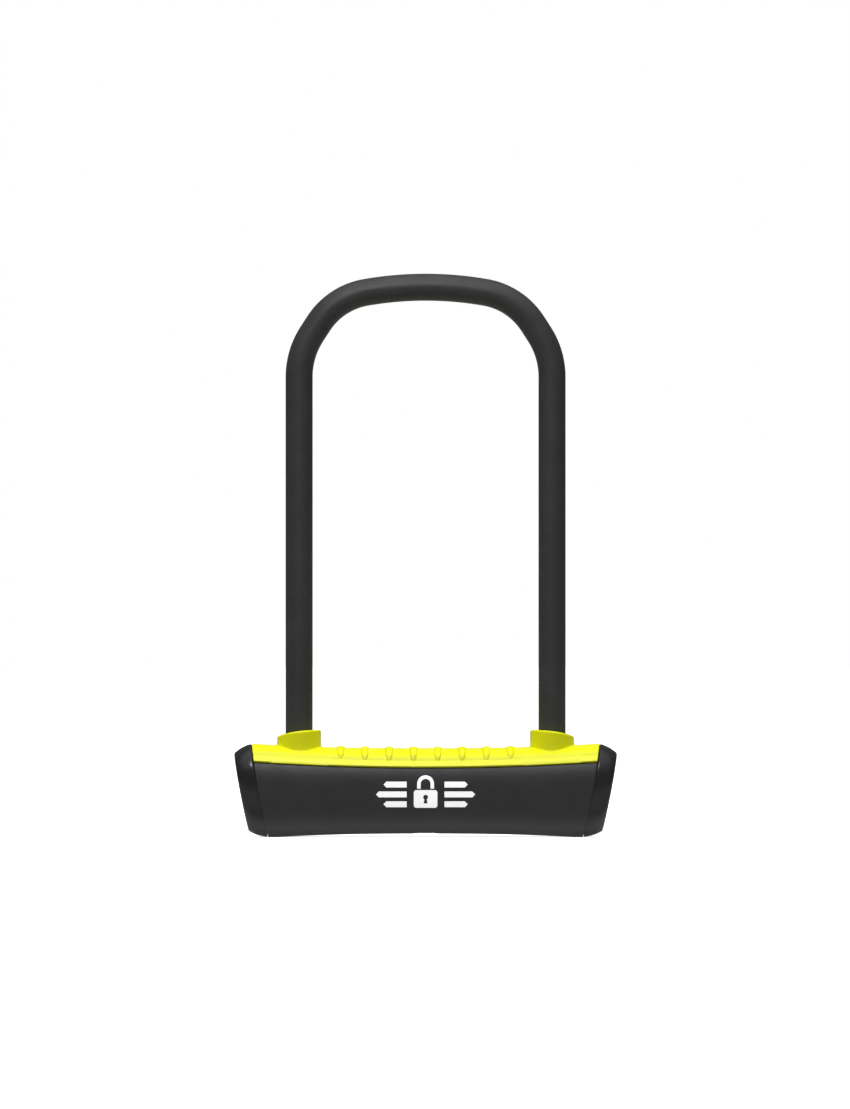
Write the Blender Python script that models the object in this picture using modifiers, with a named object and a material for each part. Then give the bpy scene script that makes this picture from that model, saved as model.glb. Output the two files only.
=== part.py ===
"""A U lock for a bicycle, unlocked and standing on its crossbar. Sizes are in millimetres until a
mesh is made. X runs along the crossbar, -Y is the front and +Z is up."""

from math import asin, cos, pi, radians, sin, sqrt

import bmesh
import bpy
from mathutils import Matrix

MM = 0.001
GAP = 0.3

# Shackle: a steel bar in a vinyl sleeve, bent in one plane
LEG_X = 64.4
BAR_R = 5.5
SLEEVE_R = 6.9
SLEEVE_BORE = 5.75
SLEEVE_END = 39.6
FOOT_END = 14.0
LEG_TOP = 234.26
BENDS = ((40.05, 32.895, 6), (35.87, 47.196, 8), (177.4, 9.909, 3))
SLANT = 6.447
NOTCH = (22.3, 29.6)
NOTCH_X = 64.1

# Crossbar outline: the top and bottom lines, the seams to the end caps and the section
HALF_DEPTH = 19.0
SECTION_POWER = 2.8
SECTION_MIDDLE = 0.466
SECTION_HALF = 0.534
TOP_MIDDLE, TOP_RISE = 45.2, 2.3
BOTTOM_MIDDLE, LAND_X = 1.76, 75.5
SEAM_TOP, SEAM_BOTTOM, SEAM_BOW = 88.4, 79.9, 0.71
STRIP_MIDDLE, STRIP_RISE = 35.9, 2.7
CAP_RINGS = (
    (88.7, 47.5, 80.2, 0.0, 19.0),
    (90.6, 47.15, 82.1, 0.3, 18.95),
    (92.5, 46.4, 84.1, 0.9, 18.7),
    (94.2, 45.6, 86.4, 1.6, 18.35),
    (95.6, 44.6, 88.5, 2.5, 17.8),
    (96.5, 43.8, 89.5, 3.3, 17.4),
    (97.1, 43.0, 90.3, 4.2, 16.8),
    (97.4, 41.5, 91.0, 6.0, 15.5),
)

# Steel tube and what is inside it
TUBE_Z = 22.5
TUBE_R, TUBE_BORE, TUBE_HALF = 16.5, 13.5, 80.0
INSIDE_R = 13.2
SHELL_BORE = 16.8
BLOCK_X = (52.8, 74.4)
PLUG_X = (74.7, 80.0)
END_PIN_X = 77.4
CASE_HALF = 52.5
CASE_SPLIT = (22.6, 22.9)
SCREW_AT = (26.0, 8.5)

# Lock cylinder, cam and bolts, on the upright axis through the middle
HOUSING_R = 10.0
KEY_SLOT = (2.6, 8.4)
DISC_R, DISC_T, DISC_STEP, DISC_Z = 5.7, 1.5, 1.8, 8.5
CAM_R, CAM_Z = 12.3, (19.3, 22.3)
PIN_R, PIN_START, PIN_RATE = 1.5, 4.0, 3.5
BOLT_X, BOLT_HALF_Y, BOLT_Z = (1.9, 58.3), 4.5, (22.9, 29.0)
BEZEL_R, BEZEL_Z = 12.9, (2.15, 5.6)
SHUTTER = (3.5, 5.7, 3.6, 4.7)

# Yellow strip details
COLLAR_R, COLLAR_BORE = 11.2, 7.2
RIB_X = (6.16, 18.5, 30.8, 43.1)
RIB_HALF = 1.65
RIB_FORM = ((-1.0, -0.5), (-0.9, 0.2), (-0.4, 0.6), (0.4, 0.6), (0.9, 0.2), (1.0, -0.5))


def clear_scene():
    for old in list(bpy.data.objects):
        bpy.data.objects.remove(old, do_unlink=True)
    for old in list(bpy.data.meshes):
        bpy.data.meshes.remove(old)


def new_collection(name):
    made = bpy.data.collections.new(name)
    bpy.context.scene.collection.children.link(made)
    return made


def material(name, colour, rough, metal=0.0):
    made = bpy.data.materials.new(name)
    made.use_nodes = True
    shader = made.node_tree.nodes["Principled BSDF"]
    shader.inputs["Base Color"].default_value = (*colour, 1.0)
    shader.inputs["Roughness"].default_value = rough
    shader.inputs["Metallic"].default_value = metal
    made.diffuse_color = (*colour, 1.0)
    return made


clear_scene()
PARTS = new_collection("u_lock")
CUTTERS = new_collection("cutters")

LOOKS = {
    "steel": ((0.55, 0.56, 0.58), 0.35, 1.0),
    "hard_steel": ((0.38, 0.39, 0.41), 0.3, 1.0),
    "brass": ((0.75, 0.55, 0.24), 0.32, 1.0),
    "zinc": ((0.6, 0.61, 0.62), 0.45, 1.0),
    "black_plastic": ((0.035, 0.035, 0.037), 0.5, 0.0),
    "black_gloss": ((0.03, 0.03, 0.032), 0.3, 0.0),
    "black_vinyl": ((0.04, 0.04, 0.043), 0.45, 0.0),
    "yellow_plastic": ((0.92, 0.9, 0.02), 0.4, 0.0),
    "grey_plastic": ((0.25, 0.25, 0.26), 0.55, 0.0),
    "rubber": ((0.05, 0.05, 0.05), 0.8, 0.0),
}


def place(name, bm, look=None):
    """The mesh as an object: a part with its own material, or a hidden cutter with none."""
    bmesh.ops.recalc_face_normals(bm, faces=bm.faces)
    mesh = bpy.data.meshes.new(name)
    bm.to_mesh(mesh)
    bm.free()
    made = bpy.data.objects.new(name, mesh)
    if look is None:
        CUTTERS.objects.link(made)
        made.hide_render = True
        made.display_type = "WIRE"
        return made
    PARTS.objects.link(made)
    mesh.materials.append(material(name, *LOOKS[look]))
    return made


def cone(name, low_r, high_r, low, high, at=(0.0, 0.0), axis="Z", look=None, sides=36):
    """A cone frustum from low to high along an axis; at is where it sits on the other two."""
    bm = bmesh.new()
    turn = {"Z": Matrix(), "X": Matrix.Rotation(pi / 2, 4, "Y"), "Y": Matrix.Rotation(-pi / 2, 4, "X")}[axis]
    half = pi / sides
    middle = (low + high) / 2
    where = {"Z": (*at, middle), "X": (middle, *at), "Y": (at[0], middle, at[1])}[axis]
    move = Matrix.Translation([v * MM for v in where])
    bmesh.ops.create_cone(
        bm,
        segments=sides,
        radius1=low_r * MM,
        radius2=high_r * MM,
        depth=(high - low) * MM,
        cap_ends=True,
        matrix=move @ turn @ Matrix.Rotation(half, 4, "Z"),
    )
    return place(name, bm, look)


def cylinder(name, r, low, high, **where):
    return cone(name, r, r, low, high, **where)


def box(name, x, y, z, look=None):
    bm = bmesh.new()
    middle = [(a + b) / 2 * MM for a, b in (x, y, z)]
    size = [(b - a) * MM for a, b in (x, y, z)]
    grow = Matrix.Diagonal((*size, 1.0))
    bmesh.ops.create_cube(bm, size=1.0, matrix=Matrix.Translation(middle) @ grow)
    return place(name, bm, look)


def lathe(name, profile, look, sides=48):
    """A solid turned about Z from a closed outline of (radius, z); radius 0 lies on the axis."""
    bm = bmesh.new()
    verts = [bm.verts.new((r * MM, 0.0, z * MM)) for r, z in profile]
    ends = verts + verts[:1]
    edges = [bm.edges.new(pair) for pair in zip(ends, ends[1:])]
    edges = [e for e in edges if max(abs(v.co.x) for v in e.verts) > 1e-9]
    bmesh.ops.spin(bm, geom=edges, axis=(0, 0, 1), cent=(0, 0, 0), steps=sides, angle=2 * pi)
    loose = [e for e in bm.edges if not e.link_faces]
    bmesh.ops.delete(bm, geom=loose, context="EDGES")
    bmesh.ops.remove_doubles(bm, verts=bm.verts, dist=1e-6)
    return place(name, bm, look)


def boolean(target, operation, other):
    step = target.modifiers.new(operation.lower() + "_" + other.name, "BOOLEAN")
    step.operation = operation
    step.solver = "EXACT"
    step.object = other


def cut(target, *others):
    for other in others:
        boolean(target, "DIFFERENCE", other)


def join(target, *others):
    for other in others:
        boolean(target, "UNION", other)


def keep(target, other):
    boolean(target, "INTERSECT", other)


def bevel(target, width, segments=2):
    step = target.modifiers.new("bevel", "BEVEL")
    step.width = width * MM
    step.segments = segments
    step.limit_method = "ANGLE"
    step.angle_limit = radians(40)


# The crossbar's outer surface


def top_line(x):
    return TOP_MIDDLE + TOP_RISE * (abs(x) / 88.0) ** 2.7


def bottom_line(x):
    return max(0.0, BOTTOM_MIDDLE * (1 - (abs(x) / LAND_X) ** 2.5))


def strip_line(x):
    return STRIP_MIDDLE + STRIP_RISE * (x / 85.0) ** 2


def station(u):
    """One section of the crossbar, u from -1 at the left seam to 1 at the right one."""
    top = SEAM_TOP * u
    bottom = SEAM_BOTTOM * u
    return top, top_line(top), bottom, bottom_line(bottom), HALF_DEPTH, SEAM_BOW * u * abs(u)


def on_section(section, w):
    """x and z at height w of a section, 0 at its bottom and 1 at its top."""
    top_x, top_z, bottom_x, bottom_z, _, bow = section
    x = bottom_x + (top_x - bottom_x) * w + bow * 4 * w * (1 - w)
    return x, bottom_z + (top_z - bottom_z) * w


def height_at(section, line, shift):
    """The height w at which a section meets a line z(x), moved up by shift."""
    w = 0.8
    for _ in range(20):
        x, _ = on_section(section, w)
        w = (line(x) + shift - section[3]) / (section[1] - section[3])
    return w


def half_ring(section, low, high, count, grow=0.0):
    """Points up one side of a section at +Y, from height low to height high, or to its very top."""
    power = SECTION_POWER
    depth = section[4] + grow
    tall = section[1] - section[3]
    half = SECTION_HALF + grow / tall

    def angle(w):
        v = max(-1.0, min(1.0, (w - SECTION_MIDDLE) / half))
        return asin(abs(v) ** (power / 2)) * (1 if v > 0 else -1)

    start = angle(low)
    end = pi / 2 if high is None else angle(high)
    step = (end - start) / (count - 1)
    ring = []
    for k in range(count):
        a = start + step * k
        s = abs(sin(a)) ** (2 / power) * (1 if a > 0 else -1)
        y = depth * max(0.0, cos(a)) ** (2 / power)
        x, z = on_section(section, SECTION_MIDDLE + half * s)
        ring.append((x, 0.0 if y < 2e-3 else y, z))
    return ring


def half_loft(name, rings, look=None):
    """A solid through half rings that run bottom to top at +Y, with the same at -Y."""
    bm = bmesh.new()
    right = [[bm.verts.new((x * MM, y * MM, z * MM)) for x, y, z in ring] for ring in rings]
    left = [[bm.verts.new((x * MM, -y * MM, z * MM)) for x, y, z in ring] for ring in rings]
    last = len(rings[0]) - 1
    for k in range(len(rings) - 1):
        for side in (right, left):
            for j in range(last):
                bm.faces.new((side[k][j], side[k][j + 1], side[k + 1][j + 1], side[k + 1][j]))
        for j in (0, last):
            if rings[k][j][1] > 0:
                bm.faces.new((right[k][j], right[k + 1][j], left[k + 1][j], left[k][j]))
    for k in (0, len(rings) - 1):
        for j in range(last):
            bm.faces.new((right[k][j], right[k][j + 1], left[k][j + 1], left[k][j]))
    bmesh.ops.remove_doubles(bm, verts=bm.verts, dist=1e-7)
    return place(name, bm, look)


def stations():
    """Sections from seam to seam, with one where each flat land under the ends begins."""
    half = [0.1 * k for k in range(1, 9)] + [0.88, LAND_X / SEAM_BOTTOM, 1.0]
    return [station(u) for u in [-u for u in reversed(half)] + [0.0] + half]


def make_body_shell():
    rings = [half_ring(s, 0.0, height_at(s, strip_line, -GAP / 2), 14) for s in stations()]
    shell = half_loft("body_shell", rings, "black_plastic")
    cut(shell, cylinder("shell_bore", SHELL_BORE, -100, 100, at=(0, TUBE_Z), axis="X", sides=48))
    cut(shell, cylinder("bezel_seat", BEZEL_R + GAP, -2, BEZEL_Z[1] + 0.35, sides=48))
    cut(shell, cylinder("shell_housing_hole", HOUSING_R + 0.4, -3, 14))


def collar_top(inward):
    return 54.45 - 3.3 * (max(0.0, 9.0 - inward) / 20.2) ** 2.5


def make_collar(side):
    """A collar around one leg, taller towards the middle of the lock."""
    bm = bmesh.new()
    sides = 36
    levels = []
    for r, drop in ((COLLAR_R, None), (COLLAR_R, 0.7), (COLLAR_R - 0.25, 0.2), (COLLAR_R - 0.8, 0.0)):
        ring = []
        for k in range(sides):
            a = 2 * pi * (k + 0.5) / sides
            x = r * cos(a)
            z = 38.5 if drop is None else collar_top(-side * x) - drop
            ring.append(bm.verts.new(((side * LEG_X + x) * MM, r * sin(a) * MM, z * MM)))
        levels.append(ring)
    for low, high in zip(levels, levels[1:]):
        for k in range(sides):
            n = (k + 1) % sides
            bm.faces.new((low[k], low[n], high[n], high[k]))
    bm.faces.new(levels[0])
    middle = bm.verts.new((side * LEG_X * MM, 0.0, collar_top(0) * MM))
    for k in range(sides):
        bm.faces.new((levels[-1][k], levels[-1][(k + 1) % sides], middle))
    return place("collar_form", bm)


def make_rib(x):
    """A low ridge across the top of the strip, front to back."""
    rings = []
    for shift, grow in RIB_FORM:
        at = x + shift * RIB_HALF
        section = station(at / (SEAM_TOP - 1.0))
        low = height_at(section, lambda _: 39.0, 0.9 * shift * shift)
        rings.append(half_ring(section, low, None, 9, grow))
    return half_loft("rib_form", rings)


def make_grip_strip():
    rings = [half_ring(s, height_at(s, strip_line, GAP / 2), None, 11) for s in stations()]
    strip = half_loft("grip_strip", rings, "yellow_plastic")
    for side in (-1, 1):
        join(strip, make_collar(side))
        for x in RIB_X:
            join(strip, make_rib(side * x))
    cut(strip, cylinder("strip_bore", SHELL_BORE, -100, 100, at=(0, TUBE_Z), axis="X", sides=48))
    for side in (-1, 1):
        cut(strip, cylinder("collar_bore", COLLAR_BORE, 30, 60, at=(side * LEG_X, 0), sides=40))


def make_end_cap(side, name):
    rings = []
    for top_x, top_z, bottom_x, bottom_z, depth in CAP_RINGS:
        section = (side * top_x, top_z, side * bottom_x, bottom_z, depth, side * SEAM_BOW)
        rings.append(half_ring(section, 0.0, None, 20))
    cap = half_loft(name, rings, "black_gloss")
    spigot = sorted((side * 80.5, side * 90.0))
    hollow = sorted((side * 70.0, side * 90.5))
    join(cap, cylinder("cap_spigot", SHELL_BORE - 0.4, *spigot, at=(0, TUBE_Z), axis="X"))
    cut(cap, cylinder("cap_hollow", 12.0, *hollow, at=(0, TUBE_Z), axis="X"))


# Steelwork inside


def inside_piece(name, low, high, look):
    return cylinder(name, INSIDE_R, low, high, at=(0, TUBE_Z), axis="X", look=look, sides=48)


def make_tube():
    tube = cylinder("crossbar_tube", TUBE_R, -TUBE_HALF, TUBE_HALF, at=(0, TUBE_Z), axis="X", look="steel", sides=48)
    cut(tube, cylinder("tube_bore", TUBE_BORE, -100, 100, at=(0, TUBE_Z), axis="X", sides=48))
    cut(tube, cylinder("tube_housing_hole", HOUSING_R + GAP, 0, 16))
    for side in (-1, 1):
        cut(tube, cylinder("tube_leg_hole", BAR_R + 0.4, 28, 45, at=(side * LEG_X, 0), sides=32))
        cut(tube, cylinder("tube_pin_hole", 1.55, -30, 30, at=(side * END_PIN_X, TUBE_Z), axis="Y", sides=16))


def make_leg_block(side, name):
    block = inside_piece(name, *sorted((side * BLOCK_X[0], side * BLOCK_X[1])), look="zinc")
    cut(block, cylinder("leg_bore", BAR_R + GAP, 12, 45, at=(side * LEG_X, 0), sides=32))
    window = sorted((side * 50.0, side * LEG_X))
    cut(block, box("bolt_window", window, (-4.8, 4.8), (CASE_SPLIT[0], BOLT_Z[1] + GAP)))


def make_end_plug(side, name):
    plug = inside_piece(name, *sorted((side * PLUG_X[0], side * PLUG_X[1])), look="steel")
    cut(plug, cylinder("plug_pin_hole", 1.55, -30, 30, at=(side * END_PIN_X, TUBE_Z), axis="Y", sides=16))


def make_ends():
    for side, word in ((-1, "left"), (1, "right")):
        make_end_cap(side, "end_cap_" + word)
        make_leg_block(side, "leg_block_" + word)
        make_end_plug(side, "end_plug_" + word)
        at = (side * END_PIN_X, TUBE_Z)
        cylinder("end_pin_" + word, 1.25, -16.2, 16.2, at=at, axis="Y", look="hard_steel", sides=16)
        cylinder("foot_pad_" + word, 5.4, 12.3, 13.7, at=(side * LEG_X, 0), look="rubber", sides=32)


def screw_places():
    x, y = SCREW_AT
    return ((-x, -y), (x, -y), (-x, y), (x, y))


def make_case():
    lower = inside_piece("lock_case_lower", -CASE_HALF, CASE_HALF, "zinc")
    cover = inside_piece("lock_case_cover", -CASE_HALF, CASE_HALF, "zinc")
    keep(lower, box("below_split", (-60, 60), (-20, 20), (0, CASE_SPLIT[0])))
    keep(cover, box("above_split", (-60, 60), (-20, 20), (CASE_SPLIT[1], 50)))
    cut(lower, cylinder("case_housing_hole", HOUSING_R + GAP, 0, 30))
    cut(lower, box("cam_recess", (-12.9, 12.9), (-20, 20), (19.0, 25)))
    cut(cover, box("bolt_channel", (-60, 60), (-4.8, 4.8), (20, BOLT_Z[1] + GAP)))
    for x, y in screw_places():
        cut(lower, cylinder("screw_hole_lower", 1.7, 16.5, 25, at=(x, y), sides=16))
        cut(cover, cylinder("screw_hole_cover", 1.7, 20, 30, at=(x, y), sides=16))
        cut(cover, cylinder("screw_head_seat", 2.9, 27.6, 40, at=(x, y), sides=24))
    for side in (-1, 1):
        hole = cylinder("case_pin_hole", 1.3, -8.8, 8.8, at=(side * 9.9, 14.0), axis="Y", sides=16)
        cut(lower, hole)


def make_case_screw(x, y, name):
    screw = lathe(name, ((0, 17.0), (1.1, 17.0), (1.4, 17.3), (1.4, 27.9), (2.6, 27.9), (2.6, 29.3), (0, 29.3)), "hard_steel", 24)
    screw.location = (x * MM, y * MM, 0.0)
    socket = cylinder("screw_socket", 1.2, 28.5, 31, at=(x, y), sides=6)
    cut(screw, socket)


def make_cylinder():
    outline = ((6.3, 5.0), (10.0, 5.0), (10.0, 18.7), (7.8, 18.7), (7.8, 6.4), (6.3, 6.4))
    housing = lathe("cylinder_housing", outline, "brass", 40)
    for side, word in ((-1, "left"), (1, "right")):
        at = (side * 9.9, 14.0)
        cut(housing, cylinder("housing_pin_notch", 1.3, -20, 20, at=at, axis="Y", sides=16))
        cylinder("housing_pin_" + word, 1.0, -8.5, 8.5, at=at, axis="Y", look="hard_steel", sides=16)
    outline = ((0, 5.2), (6.0, 5.2), (6.0, 6.7), (7.5, 6.7), (7.5, 18.9), (6.0, 18.9), (6.0, 8.2), (0, 8.2))
    plug = lathe("key_plug", outline, "brass", 40)
    wide, tall = KEY_SLOT
    cut(plug, box("key_slot", (-wide / 2, wide / 2), (-tall / 2, tall / 2), (0, 8.3)))
    cut(plug, box("drive_slot", (-10, 10), (-1.6, 1.6), (17.6, 25)))


def make_discs():
    for k in range(5):
        low = DISC_Z + DISC_STEP * k
        disc = cylinder(f"lock_disc_{k + 1}", DISC_R, low, low + DISC_T, look="steel", sides=24)
        cut(disc, box("disc_key_hole", (-1.5, 1.5), (-3.7, 3.7), (0, 30)))
        cut(disc, cylinder("disc_notch", 1.0, 0, 30, at=(DISC_R, 0), sides=10))


def spiral(turned):
    """The outline of a groove that draws a pin outwards as the cam turns a quarter turn."""
    steps = 14
    rate = PIN_RATE
    half = PIN_R + GAP

    def centre(t):
        r = PIN_START + rate * t
        return r * cos(turned - t), r * sin(turned - t), r, t

    def normal(t):
        _, _, r, _ = centre(t)
        dx = rate * cos(turned - t) + r * sin(turned - t)
        dy = rate * sin(turned - t) - r * cos(turned - t)
        size = sqrt(dx * dx + dy * dy)
        return -dy / size, dx / size

    times = [pi / 2 * k / steps for k in range(steps + 1)]
    rim = []
    for sign, order in ((1, times), (-1, times[::-1])):
        for t in order:
            x, y, _, _ = centre(t)
            nx, ny = normal(t)
            rim.append((x + sign * half * nx, y + sign * half * ny))
        x, y, _, _ = centre(order[-1])
        nx, ny = normal(order[-1])
        for k in range(1, 8):
            a = pi * k / 8
            px, py = sign * ny, -sign * nx
            rim.append((x + half * (sign * nx * cos(a) + px * sin(a)), y + half * (sign * ny * cos(a) + py * sin(a))))
    return rim


def make_groove(turned):
    bm = bmesh.new()
    rim = spiral(turned)
    low = [bm.verts.new((x * MM, y * MM, 20.3 * MM)) for x, y in rim]
    high = [bm.verts.new((x * MM, y * MM, 25.0 * MM)) for x, y in rim]
    bm.faces.new(low)
    bm.faces.new(high)
    for k in range(len(rim)):
        n = (k + 1) % len(rim)
        bm.faces.new((low[k], low[n], high[n], high[k]))
    return place("cam_groove", bm)


def make_cam():
    outline = ((0, 17.5), (5.7, 17.5), (5.7, 19.3), (12.3, 19.3), (12.3, 22.3), (0, 22.3))
    cam = lathe("bolt_cam", outline, "hard_steel", 48)
    join(cam, box("cam_drive", (-7.4, 7.4), (-1.3, 1.3), (17.9, 19.5)))
    cut(cam, make_groove(0.0), make_groove(pi))


def make_bolt(side, name):
    x = sorted((side * BOLT_X[0], side * BOLT_X[1]))
    bolt = box(name, x, (-BOLT_HALF_Y, BOLT_HALF_Y), BOLT_Z, "hard_steel")
    bevel(bolt, 0.8)
    join(bolt, cylinder("bolt_pin", PIN_R, 20.6, 25.0, at=(side * PIN_START, 0), sides=24))


def make_bezel():
    bezel = cylinder("keyway_bezel", BEZEL_R, *BEZEL_Z, look="grey_plastic", sides=48)
    cut(bezel, cylinder("housing_seat", HOUSING_R + 0.4, 4.75, 10))
    cut(bezel, box("shutter_pocket", (-3.8, 10.1), (-6.0, 6.0), (3.3, 10)))
    cut(bezel, box("key_window", (-2.6, 2.6), (-5.0, 5.0), (0, 4)))
    cut(bezel, cone("bezel_dish", 9.0, 5.2, 2.0, 2.85, sides=48))
    half_x, half_y, low, high = SHUTTER
    shutter = box("dust_shutter", (-half_x, half_x), (-half_y, half_y), (low, high), "zinc")
    for x in (-1.2, 1.2):
        cut(shutter, box("shutter_groove", (x - 0.4, x + 0.4), (-3.5, 3.5), (low - 1, low + 0.4)))


# Shackle


def bent_line(first, last_z):
    """Half of the shackle's middle line, from the foot to the crown: points (x, z)."""
    x, z, turn = LEG_X, LEG_TOP, 90.0
    points = [(x, last_z), (x, z)]
    for number, (r, angle, steps) in enumerate(BENDS):
        for _ in range(steps):
            half = radians(angle / steps / 2)
            heading = radians(turn) + half
            chord = 2 * r * sin(half)
            x += chord * cos(heading)
            z += chord * sin(heading)
            turn += angle / steps
            points.append((x, z))
        if number == 0:
            x += SLANT * cos(radians(turn))
            z += SLANT * sin(radians(turn))
            points.append((x, z))
    return points[first:]


def rod(name, r, end_z, sides, look=None):
    """A round bar along the shackle's middle line, both feet ending at end_z."""
    half = bent_line(0, end_z)
    half[-1] = (0.0, half[-1][1])
    line = half + [(-x, z) for x, z in half[-2::-1]]
    bm = bmesh.new()
    rings = []
    for k, (x, z) in enumerate(line):
        before = line[max(k - 1, 0)]
        after = line[min(k + 1, len(line) - 1)]
        if k in (0, len(line) - 1):
            along = (0.0, 1.0 if k == 0 else -1.0)
            widen = 1.0
        else:
            one = unit((x - before[0], z - before[1]))
            two = unit((after[0] - x, after[1] - z))
            along = unit((one[0] + two[0], one[1] + two[1]))
            widen = 1 / (along[0] * one[0] + along[1] * one[1])
        out = (along[1] * widen, -along[0] * widen)
        ring = []
        for j in range(sides):
            a = 2 * pi * (j + 0.5) / sides
            c = r * cos(a)
            ring.append(bm.verts.new(((x + c * out[0]) * MM, r * sin(a) * MM, (z + c * out[1]) * MM)))
        rings.append(ring)
    for low, high in zip(rings, rings[1:]):
        for j in range(sides):
            n = (j + 1) % sides
            bm.faces.new((low[j], low[n], high[n], high[j]))
    bm.faces.new(rings[0])
    bm.faces.new(rings[-1])
    return place(name, bm, look)


def unit(v):
    size = sqrt(v[0] ** 2 + v[1] ** 2)
    return v[0] / size, v[1] / size


def make_shackle():
    bar = rod("shackle_bar", BAR_R, FOOT_END, 20, "steel")
    sleeve = rod("shackle_sleeve", SLEEVE_R, SLEEVE_END, 20, "black_vinyl")
    cut(sleeve, rod("sleeve_bore", SLEEVE_BORE, SLEEVE_END - 5, 20))
    for side in (-1, 1):
        reach = sorted((side * 50.0, side * NOTCH_X))
        cut(bar, box("bolt_notch", reach, (-10, 10), NOTCH))


def main():
    make_body_shell()
    make_grip_strip()
    make_tube()
    make_ends()
    make_case()
    for k, (x, y) in enumerate(screw_places()):
        make_case_screw(x, y, f"case_screw_{k + 1}")
    make_cylinder()
    make_discs()
    make_cam()
    make_bolt(-1, "bolt_left")
    make_bolt(1, "bolt_right")
    make_bezel()
    make_shackle()


main()
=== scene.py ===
from math import cos, pi, radians, sin

import bmesh
import bpy
import numpy as np
from mathutils import Matrix, Vector


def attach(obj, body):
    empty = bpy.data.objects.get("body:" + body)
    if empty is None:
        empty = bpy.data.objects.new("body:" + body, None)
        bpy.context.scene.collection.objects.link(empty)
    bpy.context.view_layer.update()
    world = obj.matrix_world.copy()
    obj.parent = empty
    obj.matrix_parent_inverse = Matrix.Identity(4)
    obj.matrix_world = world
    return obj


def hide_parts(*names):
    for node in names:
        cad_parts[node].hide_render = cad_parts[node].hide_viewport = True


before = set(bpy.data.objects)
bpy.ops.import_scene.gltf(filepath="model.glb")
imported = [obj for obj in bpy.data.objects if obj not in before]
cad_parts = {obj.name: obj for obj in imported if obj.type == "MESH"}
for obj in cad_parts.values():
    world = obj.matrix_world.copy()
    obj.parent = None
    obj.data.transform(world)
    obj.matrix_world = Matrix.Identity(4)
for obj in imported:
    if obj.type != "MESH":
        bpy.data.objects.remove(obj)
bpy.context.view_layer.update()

MM = 0.001

# All shapes are worked out in millimetres, and turned into metres where their meshes are made.
# A place on the crossbar's surface is u, the share of its half length, and s, the length round its
# section from the top. w is the share of the section's height.
HALF_DEPTH = 19.0
SECTION_TALL = 46.0
POWER, MIDDLE, HALF, FOOT_SOFT = 2.8, 0.466, 0.534, 0.022
TOP_Z, TOP_RISE, TOP_SPAN, TOP_POWER = 45.2, 2.3, 88.0, 2.7
ARCH_RISE, ARCH_SPAN, ARCH_POWER = 1.76, 75.5, 2.5
SEAM_TOP, SEAM_BOTTOM, SEAM_BOW = 88.4, 79.9, 0.71
STRIP_Z, STRIP_RISE, STRIP_SPAN = 35.4, 2.75, 85.0
TUBE_Z, SHELL_BORE = 22.5, 16.8
BODY_HALF, STRIP_HALF = 84.0, 87.6
GAP = 0.3
TABLE_STEPS, ROUNDS = 6000, 25

# The strip's moulding: how proud it stands at some lengths up from its lower edge, and its ribs
CREASE = 3.7
BAND_AT = (0.0, CREASE, 5.7, 9.8, 13.5, 18.5)
BAND_PROUD = (0.9, 0.68, 0.8, 0.4, 0.12, 0.0)
BAND_BLUR = (-0.45, -0.225, 0.0, 0.225, 0.45)
GROOVE_DEEP, GROOVE_WIDE = 0.13, 0.3
MOULDED_EDGE, STRIP_END_EDGE = 0.35, 0.4
RIBS = (6.16, 18.5, 30.8, 43.1)
RIB_HALF, RIB_FLARE, RIB_PROUD, RIB_SIDE, LAST_RIB_UP = 1.7, 0.35, 0.78, 0.55, 0.6

# The collars round the legs
LEG_X = 64.4
COLLAR_R, COLLAR_DEEP, COLLAR_BORE = 11.2, 12.4, 7.2
COLLAR_TOP, COLLAR_DROP, COLLAR_LEVEL, COLLAR_POWER = 54.45, 3.3, 9.0, 2.5
FILLET, RIM, INNER_RIM = 1.1, 0.9, 0.6

# The end cap's sections outward from the seam: top x and z, bottom x and z, half depth and bow
CAP_RINGS = np.array((
    (88.46, 47.42, 79.96, 0.0, 19.0, 0.71),
    (89.9, 47.05, 81.6, 0.2, 19.0, 0.7),
    (91.4, 46.5, 83.3, 0.55, 18.9, 0.68),
    (93.3, 45.6, 85.4, 1.05, 18.7, 0.65),
    (95.0, 44.55, 87.2, 1.7, 18.35, 0.62),
    (96.3, 43.6, 88.6, 2.35, 17.85, 0.58),
    (97.1, 42.9, 89.65, 2.9, 17.2, 0.54),
    (97.4, 42.2, 90.1, 3.4, 16.2, 0.5),
))
CAP_SHRINK, CAP_CROWN = (0.985, 0.95, 0.88, 0.75, 0.55, 0.3, 0.1), 0.25
CAP_SEAM_EDGE, BODY_SEAM_EDGE, FINE_EDGE, FOOT_EDGE = 1.2, 0.15, 0.08, 0.8
SLOT_X, SLOT_Z = (79.0, 80.6), (-2.0, 1.9)

# The shackle's middle line: the legs, then bends of a radius and an angle with one straight slant
BAR_R, SLEEVE_R, SLEEVE_BORE, SLEEVE_END, FOOT_END = 5.5, 6.9, 5.7, 39.6, 14.0
LEG_TOP, LEG_STEP, SLANT = 234.26, 10.0, 6.447
BENDS = ((40.05, 32.895), (35.87, 47.196), (177.4, 9.909))
NOTCH_X, NOTCH_Z, NOTCH_EDGE = (50.0, 64.1), (22.3, 29.6), 0.8

# The keyway ring's outline as radius and height, and the bores and openings round it
RING_OUTLINE = (
    (0.001, 3.3), (5.6, 3.3), (5.6, 2.95), (5.9, 2.75), (8.6, 2.25), (9.0, 2.16), (9.4, 2.15), (12.4, 2.15),
    (12.75, 2.25), (12.9, 2.5), (12.9, 5.6), (10.4, 5.6), (10.4, 4.75), (0.001, 4.75))
SEAT_R, SEAT_Z, LOCK_BORE_R, LOCK_BORE_Z = 13.2, 5.95, 10.4, 14.0
SEAT_EDGE_R, SEAT_EDGE_Z = (14.4, 12.6), (0.56, 2.36)
PRINT_THICK, PRINT_SINK = 0.05, 0.02


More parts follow.
